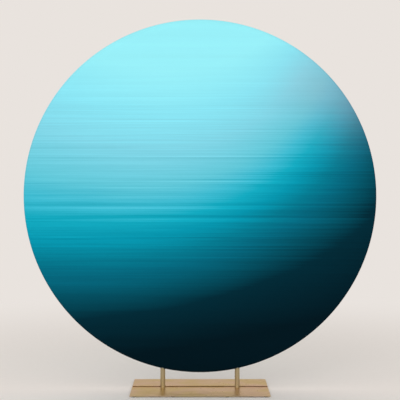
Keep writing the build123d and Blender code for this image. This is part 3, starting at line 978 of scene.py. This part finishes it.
class BACKDROP_OT_sew_cover(bpy.types.Operator):
    """Make the stretch cover with its gathered hem, sewing, bound openings and label"""

    bl_idname = "backdrop.sew_cover"
    bl_label = "Sew Cover"

    def execute(self, context):
        settings = context.scene.backdrop_cloth
        gathers = Gathers(settings)
        cover = make_cover(settings, gathers)
        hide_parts("cover_front", "cover_rim", "cover_margin")
        stitches = make_hem_stitches(settings, gathers)
        binding, stitching = make_bindings()
        make_label()
        dress(["hem_elastic"], elastic_material())
        return {"FINISHED"}


class BACKDROP_OT_plate_base(bpy.types.Operator):
    """Give the base, posts and stubs their gold plating"""

    bl_idname = "backdrop.plate_base"
    bl_label = "Plate Base and Posts"

    def execute(self, context):
        metal = context.scene.backdrop_metal
        grain = (40, 900, 900)
        leaf_gold = gold_plate("gold_leaf", metal.gold, metal.gold_rose, grain, metal.leaf_roughness)
        dress(nodes_named("base_leaf"), leaf_gold)
        grain = (900, 900, 30)
        tube_gold = gold_plate("gold_tube", metal.gold_post, metal.gold_post, grain, metal.post_roughness)
        dress(nodes_named("post_left", "post_right", "ring_stub", "clamp_boss"), tube_gold)
        return {"FINISHED"}


class BACKDROP_OT_finish_ring(bpy.types.Operator):
    """Finish the ring's tubes, joiners, buttons, springs and rivets"""

    bl_idname = "backdrop.finish_ring"
    bl_label = "Finish Ring"

    def execute(self, context):
        metal = context.scene.backdrop_metal
        zinc = bright_metal("zinc_tube", metal.zinc, 0.28, (120, 120, 120))
        dress(nodes_named("ring_arc", "ring_joiner"), zinc)
        nickel = bright_metal("nickel_steel", metal.nickel, 0.2, (300, 300, 300))
        dress(nodes_named("snap_button", "ring_rivets"), nickel)
        for number in range(1, len(nodes_named("button_spring")) + 1):
            make_button_spring(number, nickel)
        return {"FINISHED"}


class BACKDROP_OT_finish_hardware(bpy.types.Operator):
    """Finish the hinge, plugs, screws, knobs and feet, and cut the clamp screws' threads"""

    bl_idname = "backdrop.finish_hardware"
    bl_label = "Finish Hardware"

    def execute(self, context):
        metal = context.scene.backdrop_metal
        steel = bright_metal("zinc_hardware", metal.zinc, 0.32, (250, 900, 250))
        dress(nodes_named("post_plug", "foot_screws"), steel)
        dress(nodes_named("hinge_"), bright_metal("hinge_brass", metal.brass, 0.3, (900, 60, 900)))
        dress(nodes_named("clamp_knob"), moulded("knob_plastic", metal.plastic, 0.5, 0.0009, 0.0001))
        dress(nodes_named("rubber_feet"), moulded("foot_rubber", metal.rubber, 0.75, 0.0014, 0.0002))
        for side in SIDES:
            make_clamp_screw(side, steel)
        return {"FINISHED"}


# ---------------------------------------------------------------- studio


FLOOR_RADIUS = 40
FLOOR_FADE = (1.2, 4)
# Each soft light's name, place, width and height, and power.
LIGHTS = (
    ("key", (-2.2, -5.6, 2.6), 3.0, 64),
    ("fill", (2.6, -5.2, 1.8), 2.5, 32),
)


def floor_material(settings):
    """A plain pale floor that fades into the background."""
    shader = Shader("pale_floor")
    place = shader.position()
    away = shader.add("ShaderNodeVectorMath", {0: place}, operation="LENGTH").outputs["Value"]
    fleck = shader.noise(place, 30, 3)
    tone = shader.blend(shader.fade(fleck, 0.3, 0.7, 0, 0.06), tuple(settings.floor), linear("D8D5D1"))
    plain = shader.add(
        "ShaderNodeBsdfPrincipled", {"Base Color": tone, "Roughness": 0.9, "Specular IOR Level": 0.1}
    ).outputs[0]
    far = shader.add("ShaderNodeEmission", {"Color": (*settings.wall, 1), "Strength": 1.0}).outputs[0]
    distance = shader.fade(away, *FLOOR_FADE)
    mixed = shader.add("ShaderNodeMixShader", {0: distance, 1: plain, 2: far}).outputs[0]
    shader.add("ShaderNodeOutputMaterial", {"Surface": mixed})
    return shader.material


def softbox(name, place, target, size, power):
    """A soft square light that points at a target."""
    data = bpy.data.lights.new(name, "AREA")
    data.shape = "SQUARE"
    data.size = size
    data.energy = power
    light = bpy.data.objects.new(name, data)
    light.location = place
    light.visible_camera = False
    light.rotation_euler = (target - Vector(place)).to_track_quat("-Z", "Y").to_euler()
    bpy.context.scene.collection.objects.link(light)


class BACKDROP_OT_light_studio(bpy.types.Operator):
    """Make the pale floor, the soft lights and the camera"""

    bl_idname = "backdrop.light_studio"
    bl_label = "Light Studio"

    def execute(self, context):
        settings = context.scene.backdrop_studio
        scene = context.scene
        mesh = bmesh.new()
        bmesh.ops.create_circle(mesh, cap_ends=True, segments=64, radius=FLOOR_RADIUS)
        data = bpy.data.meshes.new("floor")
        mesh.to_mesh(data)
        mesh.free()
        data.materials.append(floor_material(settings))
        floor = bpy.data.objects.new("floor", data)
        scene.collection.objects.link(floor)

        world = bpy.data.worlds.new("studio")
        world.use_nodes = True
        world.node_tree.nodes["Background"].inputs["Color"].default_value = (*settings.wall, 1)
        world.node_tree.nodes["Background"].inputs["Strength"].default_value = 1.0
        scene.world = world

        for name, place, size, power in LIGHTS:
            softbox(name, place, RING_CENTRE, size, power)

        data = bpy.data.cameras.new("camera")
        data.sensor_width = 36
        data.lens = settings.lens
        data.shift_y = settings.shift
        camera = bpy.data.objects.new("camera", data)
        camera.location = (0, -settings.distance, settings.height)
        camera.rotation_euler = (math.radians(90), 0, 0)
        scene.collection.objects.link(camera)
        scene.camera = camera
        scene.view_settings.view_transform = "Standard"
        return {"FINISHED"}


class BACKDROP_PT_panel(bpy.types.Panel):
    """Lists the backdrop's making steps"""

    bl_idname = "BACKDROP_PT_panel"
    bl_label = "Round Fabric Backdrop"
    bl_space_type = "VIEW_3D"
    bl_region_type = "UI"
    bl_category = "Backdrop"

    def draw(self, context):
        for operator in STEPS:
            self.layout.operator(operator.bl_idname)
        for group in GROUPS:
            box = self.layout.box()
            settings = getattr(context.scene, group)
            for name in settings.__annotations__:
                box.prop(settings, name)


STEPS = (
    BACKDROP_OT_sew_cover,
    BACKDROP_OT_plate_base,
    BACKDROP_OT_finish_ring,
    BACKDROP_OT_finish_hardware,
    BACKDROP_OT_light_studio,
)
GROUPS = {
    "backdrop_print": BackdropPrint,
    "backdrop_cloth": BackdropCloth,
    "backdrop_metal": BackdropMetal,
    "backdrop_studio": BackdropStudio,
}


def register():
    """Registers the add-on's classes and settings."""
    for item in (*GROUPS.values(), *STEPS, BACKDROP_PT_panel):
        bpy.utils.register_class(item)
    for name, group in GROUPS.items():
        setattr(bpy.types.Scene, name, bpy.props.PointerProperty(type=group))


def unregister():
    """Removes the add-on's classes and settings."""
    for name in GROUPS:
        delattr(bpy.types.Scene, name)
    for item in reversed((*GROUPS.values(), *STEPS, BACKDROP_PT_panel)):
        bpy.utils.unregister_class(item)


def main():
    """Runs every step in order."""
    register()
    bpy.ops.backdrop.sew_cover()
    bpy.ops.backdrop.plate_base()
    bpy.ops.backdrop.finish_ring()
    bpy.ops.backdrop.finish_hardware()
    bpy.ops.backdrop.light_studio()


if __name__ == "__main__":
    main()
